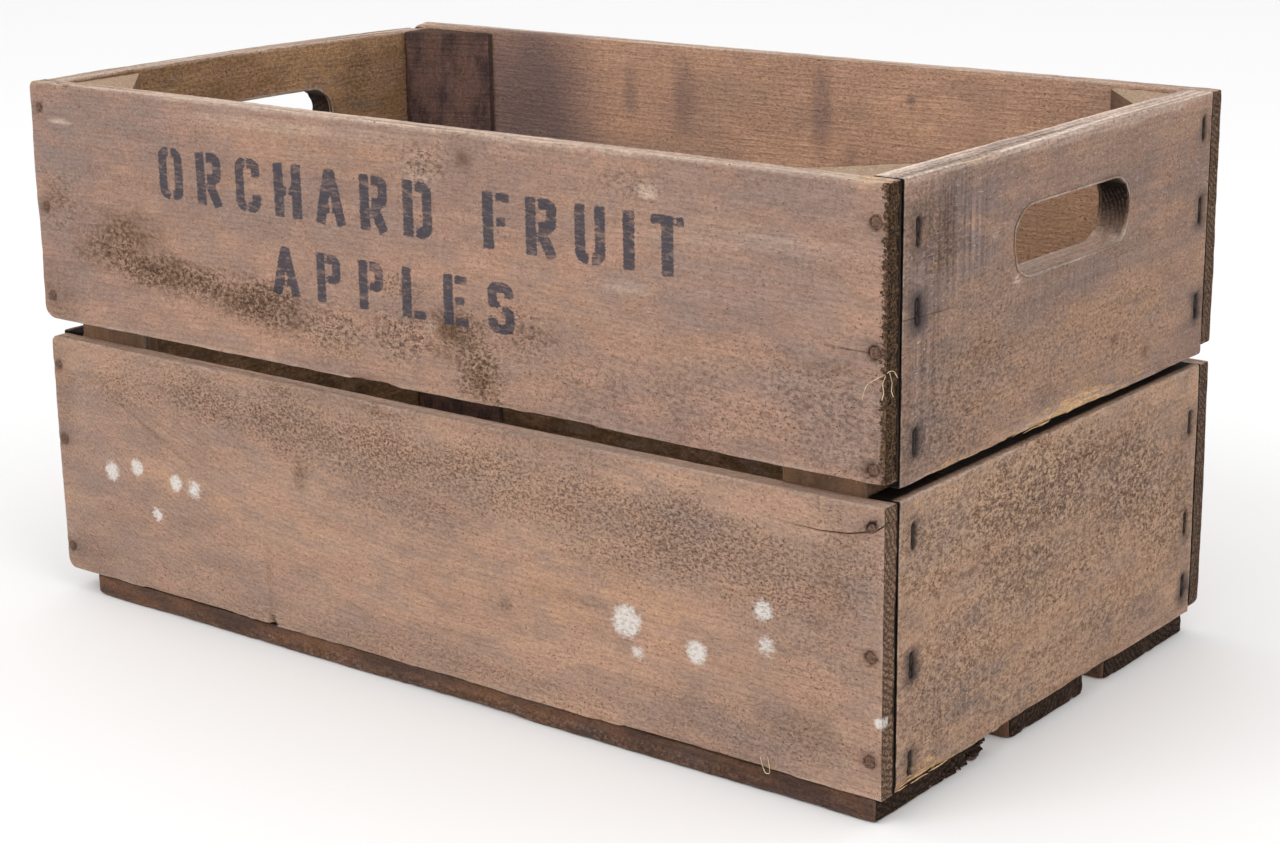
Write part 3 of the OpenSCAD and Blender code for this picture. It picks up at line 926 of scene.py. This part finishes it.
frontLowerBoard = dict(
    node="front_lower_board", face="front", seed=23, step=1.32, pith=(190, 50), ringWidth=2.6,
    endRough=0.45, drift=[(0, -40), (60, 8), (130, 36), (250, 50), (500, 54)],
    corners={(-1, -1): 6, (-1, 1): 3}, nails="front_lower_nails",
    cracks=[
        dict(
            up=112, start=428, stop=499, fade=(50, 1), width=0.28, depth=1.4, dark=0.85,
            path=[(430, 111), (452, 109.6), (467, 109.4), (480, 110.6), (492, 113.6), (500, 119)],
        ),
    ],
    chips=[
        (150, 0, 0, 3.2, 7, 8, 2.6, 0.0), (100, 0, 0, 60, 2.5, 4, 0.8, 0.0),
        (400, 0, 0, 60, 2.5, 4, 0.8, 0.1),
    ],
    speck=[
        (60, 106, 44, 16, 0.5), (109, 108, 54, 17, 0.8), (164, 106, 54, 20, 0.9), (227, 102, 54, 22, 0.9),
        (288, 100, 54, 22, 0.85), (344, 98, 54, 22, 0.8), (397, 92, 54, 26, 0.85), (438, 88, 46, 26, 0.8),
        (476, 94, 30, 24, 0.6), (366, 80, 44, 18, 0.6), (240, 78, 46, 14, 0.45), (469, 62, 30, 30, 0.35),
        (438, 14, 60, 16, 0.4), (300, 8, 200, 10, 0.3),
    ],
    stain=[
        (5, 101, 12, 40, 0.35), (78, 82, 62, 1.6, 0.5, -25), (60, 96, 40, 1.6, 0.35, -20),
        (150, 22, 2.5, 28, 0.4), (100, 88, 40, 1.5, 0.3, -22), (196, 26, 50, 1.5, 0.25, -18),
        (250, 84, 40, 1.5, 0.3, -14), (18, 12, 24, 14, 0.4), (174, 80, 5, 10, 0.7), (300, 43, 5, 3, 0.7),
        (472, 84, 14, 26, 0.4), (458, 22, 26, 8, 0.4), (332, 54, 34, 3, 0.3), (250, 122, 260, 4, 0.3),
        (470, 34, 24, 5, 0.3), (380, 22, 60, 3, 0.25),
    ],
    film=[
        (30, 60, 34, 44, 0.35), (230, 72, 34, 14, 0.35), (486, 84, 14, 22, 0.7), (395, 104, 34, 10, 0.5),
        (18, 24, 34, 22, 0.5), (440, 14, 60, 14, 0.4), (120, 18, 80, 14, 0.3), (440, 60, 30, 20, 0.25),
    ],
    warm=[
        (367, 52, 100, 24, 0.85), (100, 60, 36, 8, 0.9), (70, 62, 24, 7, 0.6), (290, 40, 90, 22, 0.5),
        (430, 80, 30, 12, 0.4), (60, 26, 60, 10, 0.3), (190, 60, 60, 12, 0.3),
    ],
    splash=[
        (40, 59, 7.6, 0.8), (59, 64, 5.8, 0.9), (87, 61, 7, 0.75), (100, 60, 11, 0.5), (72, 42, 7, 0.6),
        (368, 50, 10, 0.9), (374, 37, 9, 0.42), (405, 44, 7.6, 0.85), (439, 70, 8.5, 0.68),
        (441, 55, 12, 0.42), (496, 34, 3.6, 0.9),
    ],
    topPaleAndHighlight=0.35,
    look=dict(
        baseLook, light=(175, 142, 120), dark=(154, 126, 110), warm=(181, 143, 116), cutDark=(88, 66, 52),
        cutLight=(176, 144, 118),
    ),
)

# the inside stain here is grey-purple and smooth: stains, and painted shade in the back-left inside corner
insideLook = dict(
    baseLook, innerDark=(188, 150, 127), innerLight=(206, 162, 134), rosy=(194, 150, 124),
    ashy=(164, 133, 116), patchy=0.32, rough=0.7, streak=0.15, fibre=0.4, dirtLow=0.95,
    stainColour=(120, 100, 97), cutDark=(72, 54, 42), cutLight=(150, 120, 98),
)

backUpperBoard = dict(
    node="back_upper_board", face="back", seed=37, step=1.7, pith=(-30, 70), ringWidth=2.6, endRough=0.6,
    corners={(-1, 1): 8}, nails="back_upper_nails", chips=[(6, 120, 8, 12, 6, 8, 2.0, 0.2)],
    speck=[(250, 30, 200, 20, 0.5), (120, 90, 90, 20, 0.6)], speckInside=0.15,
    # the large first spot is painted shade in the back-left inside corner, the small ones are stains
    stainAndShadeInside=[
        (92, 60, 54, 110, 0.9), (161, 92, 6, 18, 0.4), (197, 94, 9, 22, 0.5), (285, 92, 8, 26, 0.5),
        (338, 102, 3, 3, 0.8), (303, 70, 5, 9, 0.3),
    ],
    oliveInside=[(420, 40, 90, 40, 0.45), (250, 24, 300, 24, 0.6)],
    film=[(400, 60, 90, 40, 0.5), (60, 60, 60, 50, 0.4)], warm=[(250, 90, 120, 20, 0.4)], look=insideLook,
)

backLowerBoard = dict(
    node="back_lower_board", face="back", seed=41, step=1.7, pith=(40, 60), ringWidth=2.6, endRough=0.6,
    corners={(1, -1): 6}, nails="back_lower_nails", speck=[(250, 90, 220, 28, 0.8), (90, 30, 90, 20, 0.4)],
    speckInside=0.25, film=[(120, 60, 90, 40, 0.5)], warm=[(320, 40, 120, 20, 0.5)],
    look=dict(
        baseLook, innerDark=(84, 64, 42), innerLight=(112, 86, 56), cutDark=(66, 50, 40),
        cutLight=(140, 112, 92),
    ),
)

endLook = dict(
    baseLook, light=(150, 121, 102), dark=(133, 108, 95), saw=1.1, rust=(68, 60, 60),
    cloudColour=(137, 114, 102), film=(115, 100, 96), pale=(196, 174, 158), rosy=(164, 129, 109),
    ashy=(128, 108, 100), crumb=1.7, crust=0.7, bumps=0.7, rough=0.9, grit=1.6, raised=(176, 146, 120),
    innerDark=(146, 112, 78), innerLight=(178, 140, 102), warm=(162, 126, 99),
)
# centre along and up, half length, half height and corner radius of the hand holes
handHole = (132 + 3, 124 - 26.5 - 14, 48.5, 14, 13)

rightEndUpperBoard = dict(
    node="right_end_upper_board", face="right", seed=53, step=1.15, edge=1.4, pith=(70, 48), ringWidth=2.0,
    slot=handHole, nails="right_end_upper_staples", slotRim=1.1, nailTall=4.2,
    knots=[(176, 25, 2.2), (206, 13, 2.2)],
    cracks=[
        dict(
            up=67, start=1, stop=62, fade=(1, 34), width=0.25, depth=0.6, dark=0.55,
            path=[(0, 68), (30, 66.6), (60, 66)],
        ),
    ],
    chips=[
        (136, -1, 0, 66, 9.5, 7, 0.5, 1.0), (46, -1, 0, 56, 4.5, 5, 0.3, 0.6),
        (60, 124, 0, 20, 3, 4, 0.7, 0.3),
    ],
    speck=[
        (44, 28, 44, 30, 0.65), (64, 36, 34, 20, 0.6), (20, 20, 34, 22, 0.6), (110, 30, 60, 26, 0.4),
        (180, 30, 50, 24, 0.4), (70, 60, 30, 20, 0.35), (20, 96, 30, 20, 0.4),
    ],
    stain=[
        (18, 104, 24, 13, 0.7), (34, 92, 16, 18, 0.6), (176, 25, 5, 4, 0.7), (206, 13, 6, 3, 0.7),
        (60, 44, 10, 8, 0.35), (5, 40, 5, 50, 0.3),
    ],
    film=[
        (36, 96, 46, 32, 0.95), (20, 60, 24, 60, 0.7), (120, 60, 90, 16, 0.45), (170, 100, 60, 18, 0.3),
        (240, 90, 26, 34, 0.35),
    ],
    warm=[(160, 40, 90, 18, 0.5), (120, 20, 100, 10, 0.4), (225, 60, 30, 20, 0.3)],
    pale=[(136, 3, 52, 4, 0.4), (86, 66, 5, 2, 0.6), (70, 90, 4, 2, 0.5), (130, 122, 150, 3, 0.5)],
    topPaleAndHighlight=1.0,
    look=dict(endLook, pale=(208, 188, 174), cutRings=-0.34, cutDark=(30, 21, 16), cutLight=(100, 82, 72)),
)

rightEndLowerBoard = dict(
    node="right_end_lower_board", face="right", seed=61, step=1.15, pith=(-50, 60),
    nails="right_end_lower_staples", nailTall=4.2,
    chips=[(22, -1, 0, 30, 8.5, 8, 0.9, 1.0), (130, 0, 0, 80, 3, 4, 0.8, 0.2)],
    speck=[
        (129, 100, 66, 28, 1.0), (196, 86, 46, 34, 0.95), (86, 102, 54, 26, 0.9), (97, 72, 54, 26, 0.75),
        (31, 96, 44, 30, 0.6), (132, 56, 90, 22, 0.55), (48, 46, 66, 32, 0.5), (181, 28, 66, 22, 0.45),
        (110, 16, 70, 18, 0.45), (228, 60, 40, 36, 0.75), (24, 20, 30, 20, 0.4),
    ],
    stain=[(97, 72, 12, 10, 0.4), (190, 108, 40, 12, 0.3), (248, 70, 12, 50, 0.35), (60, 80, 30, 3, 0.3)],
    film=[(49, 25, 46, 16, 0.6), (48, 60, 24, 10, 0.4), (30, 10, 34, 12, 0.4), (180, 20, 50, 14, 0.2)],
    warm=[
        (21, 62, 44, 18, 0.45), (60, 86, 44, 5, 0.4), (181, 60, 66, 10, 0.45), (210, 34, 44, 14, 0.5),
        (110, 40, 80, 10, 0.3),
    ],
    # its top face, in the gap under the upper board, gets painted shade
    topPaleAndHighlight=0.0, topShade=1.0,
    look=dict(
        endLook, light=(172, 140, 115), dark=(153, 125, 105), raised=(194, 162, 134), bumps=0.85, crumb=1.9,
        crust=0.8, rough=1.1,
    ),
)

leftEndUpperBoard = dict(
    node="left_end_upper_board", face="left", seed=67, step=1.5, edge=1.9, pith=(-40, 60), ringWidth=2.8,
    slot=handHole, nails="left_end_upper_staples", slotRim=1.4, nailTall=4.2,
    sag=[(0, 0.6), (40, 0), (140, 0.2), (208, 1.2), (264, 2.6)],
    speck=[(60, 30, 60, 30, 0.6), (200, 40, 60, 30, 0.5)], speckInside=0.25,
    # the two spots near the back end are painted shade in the back-left inside corner, the others stains
    stainAndShadeInside=[
        (206, 106, 12, 20, 0.6), (150, 92, 26, 8, 0.35), (90, 100, 30, 10, 0.4), (250, 90, 16, 30, 0.4),
    ],
    film=[(200, 90, 60, 30, 0.5)], warm=[(120, 30, 90, 20, 0.5)], look=endLook,
)

leftEndLowerBoard = dict(
    node="left_end_lower_board", face="left", seed=71, step=1.5, pith=(-40, 60), ringWidth=2.8,
    nails="left_end_lower_staples", nailTall=4.2, speck=[(80, 80, 80, 40, 0.9), (200, 50, 70, 40, 0.7)],
    # its top face, in the gap under the upper board, gets painted shade
    speckInside=0.2, film=[(60, 20, 60, 20, 0.5)], warm=[(180, 90, 80, 20, 0.4)], topPaleAndHighlight=0.0, topShade=0.9,
    look=dict(endLook, innerDark=(84, 64, 42), innerLight=(112, 86, 56)),
)

slatLook = dict(
    baseLook, light=(120, 87, 66), dark=(80, 60, 51), warm=(128, 86, 56), cloudColour=(78, 62, 58),
    film=(84, 74, 72), innerDark=(84, 64, 48), innerLight=(116, 88, 64), wear=(110, 86, 70),
    pale=(140, 112, 88), cutDark=(36, 25, 20), cutLight=(92, 70, 54), speckColour=(44, 31, 25), streak=0.6,
    fibre=0.7, rough=0.9, blotch=0.8, cloudy=0.7, rosy=(118, 83, 62), ashy=(74, 59, 55),
)

slatFront = dict(
    node="bottom_slat_front", face="under", seed=79, step=1.8, edge=1.8, pith=(40, 60), endRough=0.7,
    corners={(-1, -1): 6, (1, 1): 9}, nails="slat_front_nails",
    chips=[(500, 110, -4, 70, 60, 14, 8.0, 0.0), (250, 0, 0, 60, 5, 5, 1.0, 0.0)],
    speck=[(250, 46, 260, 60, 0.6)], look=slatLook,
)
slatMiddle = dict(
    node="bottom_slat_middle", face="under", seed=83, step=1.8, edge=1.8, pith=(-20, 60), endRough=0.6,
    corners={(1, 1): 7, (1, -1): 5}, nails="slat_middle_nails", speck=[(250, 36, 260, 50, 0.5)],
    look=slatLook,
)
slatBack = dict(
    node="bottom_slat_back", face="under", seed=89, step=1.8, edge=1.8, pith=(90, 60), endRough=0.6,
    corners={(1, 1): 8, (1, -1): 4}, nails="slat_back_nails", speck=[(250, 40, 260, 60, 0.5)],
    look=slatLook,
)

# the three-sided posts: a block squeezed to a thin edge on its far side
postLook = dict(
    baseLook, light=(146, 114, 88), dark=(112, 86, 68), cloudColour=(120, 96, 80), innerDark=(112, 86, 68),
    innerLight=(142, 110, 84), cutDark=(180, 148, 122), cutLight=(214, 188, 162), saw=1.2, cutRings=-0.05,
    fibre=0.3, grit=0.6, fleck=0.2, rough=0.4, blotch=0.6, rosy=(140, 108, 82), ashy=(108, 88, 76),
)
# the back-left post: a darker copy of the post colours, painted shade in the back-left inside corner
shadedPostLook = dict(
    postLook, light=(104, 81, 73), dark=(78, 60, 56), cloudColour=(84, 65, 61), innerDark=(82, 63, 59),
    innerLight=(105, 81, 75), cutDark=(80, 62, 54), cutLight=(120, 98, 84), rosy=(116, 88, 78),
    ashy=(70, 55, 56), patchy=0.8, blotch=1.2, wear=(96, 76, 68), pale=(120, 98, 90),
)
posts = [
    dict(
        name=camel(corner + "_post"), node="corner_post_" + corner, face=camel("post_" + corner), seed=seed,
        step=1.4, depthStep=1.4, edge=0.9, pith=pith, ringWidth=3.2, endRough=0.4, taperTo=(3, 3), wear=0.1,
        speckInside=0.12, look=look,
    )
    for corner, seed, look, pith in (
        ("front_left", 97, postLook, (60, -20)), ("front_right", 101, postLook, (30, 60)),
        ("back_left", 103, shadedPostLook, (20, 70)), ("back_right", 107, postLook, (70, 30)),
    )
]

boards = [
    frontUpperBoard, frontLowerBoard, backUpperBoard, backLowerBoard, rightEndUpperBoard,
    rightEndLowerBoard, leftEndUpperBoard, leftEndLowerBoard, slatFront, slatMiddle, slatBack,
]
for board in boards + posts:
    buildBoard(board)

rusty = dict(
    shift=3, cell=1.1, detail=4, rough=0.65, half=0.12, roughness=(0.6, 0.95), metallic=0.15, bump=(0.9, 0.3)
)
fibrous = dict(
    shift=5, cell=3, detail=3, rough=0.6, half=0.14, roughness=(0.55, 0.8), metallic=0.0, bump=(0.4, 0.15)
)
nailHead = dict(radius=2.45, sunk=0.7, thick=1.1, sides=20)
nailHead["finish"] = twoToneFinish("rustyNail", (62, 42, 34), (124, 90, 70), rusty)
stapleCrown = dict(half=4.6, wire=0.7, sunk=1.0, legs=5.0)
stapleCrown["finish"] = twoToneFinish("rustyWire", (20, 15, 14), (52, 39, 33), rusty)


def headSurface(seed, shape):
    # a worn, slightly square disc: rings of wandering radius, from the top's middle to the underside's
    turn = np.arange(shape["sides"]) * 2 * np.pi / shape["sides"]
    square = 1 + 0.05 * np.cos(4 * turn + seed)
    dent = softNoise(np.stack([np.cos(turn), np.sin(turn), turn * 0 + seed], 1) * 1.3, (1, 1, 1), 5)
    outline = shape["radius"] * square * (1 + 0.06 * dent)
    steps = np.array([(0.35, -0.1), (0.7, 0.05), (0.92, 0.15), (1.0, 0.4), (0.97, 0.9), (0.6, 1.1)])
    radius = steps[:, :1] * outline
    depth = shape["sunk"] + steps[:, 1:] * shape["thick"] + 0.12 * dent * (steps[:, :1] > 0.5)
    points = np.stack([depth, radius * np.cos(turn), radius * np.sin(turn)], -1).reshape(-1, 3)
    ends = [[shape["sunk"] - 0.05, 0, 0], [shape["sunk"] + shape["thick"] * 1.1, 0, 0]]
    return np.concatenate([points, ends]), ringSkin(len(steps), shape["sides"])


def crownSurface(seed, shape):
    # wire carried up one leg, over the crown and down the other, the middle of the crown pressed in a little
    lean = 0.5 * np.sin(seed * 1.7)
    half = shape["half"] * (1 + 0.06 * np.cos(seed * 2.3))
    s = np.linspace(-1, 1, 25)
    corner = 1 - ease(np.abs(s), 0.62, 1.0)
    up = half * np.sign(s) * np.minimum(np.abs(s) / 0.68, 1)
    inward = shape["sunk"] + shape["wire"] + (1 - corner) * shape["legs"] + 0.25 * np.cos(s * 6 + seed)
    path = np.stack([inward, lean * s, up], 1)
    return tube(path, shape["wire"] * (1 + 0.1 * np.sin(s * 9 + seed)), 8)


def fasteners(node, face, maker, shape):
    axisA, axisU, axisT = (axis for axis, sign in faces[face])
    signT = faces[face][2][1]
    surface = cadLow[axisT] / mm if signT > 0 else cadHigh[axisT] / mm
    parts = []
    for number, (centreA, centreU) in enumerate(nailPlaces(node, face)):
        p, polygons = maker(number + node.count("upper") * 5, shape)
        if face == "front" and centreA < 0:
            p = p * [1, 0.75, 0.8]
        world = np.empty_like(p)
        world[:, axisA] = centreA + p[:, 1]
        world[:, axisU] = centreU + p[:, 2]
        world[:, axisT] = surface + signT * p[:, 0]
        parts.append((world, [q[:, ::-1] for q in polygons] if turnedOver(face) else polygons))
    points, polygons = joined(parts)
    name = camel(node.replace("_end", ""))
    made = makeMesh(name, points, polygons)
    made.data.materials.append(shape["finish"])
    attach(made, "root")
    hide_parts(node)
    print("built", name, len(parts), "fasteners")


for board in boards[:4] + boards[8:]:
    fasteners(board["nails"], board["face"], headSurface, nailHead)
for board in boards[4:8]:
    fasteners(board["nails"], board["face"], crownSurface, stapleCrown)


def smoothPath(points, count=28):
    # each coordinate carried through the given points, then averaged twice to take the corners off
    points = np.asarray(points, float)
    s = np.linspace(0, len(points) - 1, count)
    path = np.stack([np.interp(s, np.arange(len(points)), points[:, c]) for c in range(3)], 1)
    for smoothing in range(2):
        path[1:-1] = (path[:-2] + 2 * path[1:-1] + path[2:]) / 4
    return path


# loose straw caught at the corner, in world millimetres
strawStrands = dict(
    radius=0.16,
    strands=[
        [
            (238.5, -141.75, 177.6), (239.2, -141.7, 181), (240.3, -141.6, 184), (244.2, -141.6, 186.6),
            (248.8, -141.7, 189.2), (249.8, -140.6, 190.4), (249.8, -137.2, 190.0), (249.8, -134.6, 186.6),
        ],
        [(249.8, -140.2, 189.6), (249.8, -138.4, 185.4), (249.8, -138.9, 182.2), (249.8, -137.4, 179.6)],
        [
            (248.9, -141.75, 188.8), (247.6, -141.75, 185.2), (248.2, -141.75, 181.8),
            (247.4, -141.75, 178.8),
        ],
        [
            (190.3, -141.75, 16.8), (191.3, -141.7, 13), (192.8, -141.7, 10.0), (195.0, -141.7, 10.4),
            (194.8, -141.7, 14), (194.0, -141.75, 17.8),
        ],
    ],
)
parts = [tube(smoothPath(points), strawStrands["radius"], 6) for points in strawStrands["strands"]]
points, polygons = joined(parts)
straw = makeMesh("strawStrands", points, polygons)
straw.data.materials.append(twoToneFinish("straw", (186, 158, 122), (222, 202, 172), fibrous))
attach(straw, "root")

# torn slivers along two bottom edges; each run: start and end along Y, lowest and highest Z, how many
tornSlivers = dict(
    runs=[(-58, 48, 140.8, 144.2, 22), (-131, -94, 12.2, 15.5, 10)], radius=(0.12, 0.26), length=(8, 26),
    seed=7,
)
random = np.random.default_rng(tornSlivers["seed"])
parts = []
for start, stop, lowest, highest, count in tornSlivers["runs"]:
    for number in range(count):
        reach = random.uniform(*tornSlivers["length"])
        y = random.uniform(start, stop - reach * 0.6)
        z = lowest + (highest - lowest) * random.uniform() ** 1.6
        rise = random.uniform(-0.8, 1.2)
        s = np.linspace(0, 1, 9)
        x = 249.45 - 0.5 * random.uniform() - 0.25 * np.sin(s * 3)
        path = np.stack([x, y + reach * s, z + rise * s + 0.25 * np.sin(s * 5 + number)], 1)
        thick = random.uniform(*tornSlivers["radius"]) * (0.25 + np.sin(s * np.pi) ** 0.6)
        parts.append(tube(path, thick, 6, 0.5))
points, polygons = joined(parts)
slivers = makeMesh("tornSlivers", points, polygons)
slivers.data.materials.append(twoToneFinish("tornWood", (164, 126, 88), (208, 174, 132), fibrous))
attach(slivers, "root")
print("built straw and slivers")

floorSize = 6.0
half = floorSize / 2
floorCorners = [(-half, -half, 0), (half, -half, 0), (half, half, 0), (-half, half, 0)]
floorMesh = bpy.data.meshes.new("floor")
floorMesh.from_pydata(floorCorners, [], [(0, 1, 2, 3)])
floor = bpy.data.objects.new("floor", floorMesh)
bpy.context.scene.collection.objects.link(floor)
floorFinish, floorTree, floorShader = newFinish("paleFloor")
floorShader.inputs["Base Color"].default_value = (0.9, 0.9, 0.9, 1)
floorShader.inputs["Roughness"].default_value = 0.9
floorMesh.materials.append(floorFinish)

world = bpy.data.worlds.new("studio")
bpy.context.scene.world = world
world.use_nodes = True
world.node_tree.nodes["Background"].inputs[0].default_value = (1, 1, 1, 1)
world.node_tree.nodes["Background"].inputs[1].default_value = 1.0


def addLight(name, place, target, size, power):
    data = bpy.data.lights.new(name, "AREA")
    data.shape = "RECTANGLE"
    data.size, data.size_y = size
    data.energy = power
    lamp = bpy.data.objects.new(name, data)
    bpy.context.scene.collection.objects.link(lamp)
    back = np.array(place, float) - target
    back /= np.linalg.norm(back)
    side = np.cross([0, 0, 1], back)
    side /= np.linalg.norm(side)
    upward = np.cross(back, side)
    lamp.matrix_world = Matrix([[side[i], upward[i], back[i], place[i]] for i in range(3)] + [[0, 0, 0, 1]])


addLight("keyLight", (-0.6, -2.2, 2.2), (0, 0, 0.1), (1.6, 1.2), 24)
addLight("fillLight", (2.2, -0.6, 1.5), (0, 0, 0.1), (1.4, 1.2), 12)

view = dict(
    place=(0.7506, -0.9338, 0.4361), lens=71.07, sensor=36.0, right=(0.7892, 0.614, -0.0137),
    up=(-0.15684, 0.22306, 0.9621), back=(0.59376, -0.75716, 0.27234),
)
cameraData = bpy.data.cameras.new("camera")
cameraData.lens = view["lens"]
cameraData.sensor_width = view["sensor"]
camera = bpy.data.objects.new("camera", cameraData)
bpy.context.scene.collection.objects.link(camera)
rows = [[view["right"][i], view["up"][i], view["back"][i], view["place"][i]] for i in range(3)]
camera.matrix_world = Matrix(rows + [[0, 0, 0, 1]])
bpy.context.scene.camera = camera
bpy.context.scene.view_settings.view_transform = "Standard"

print("finishing")
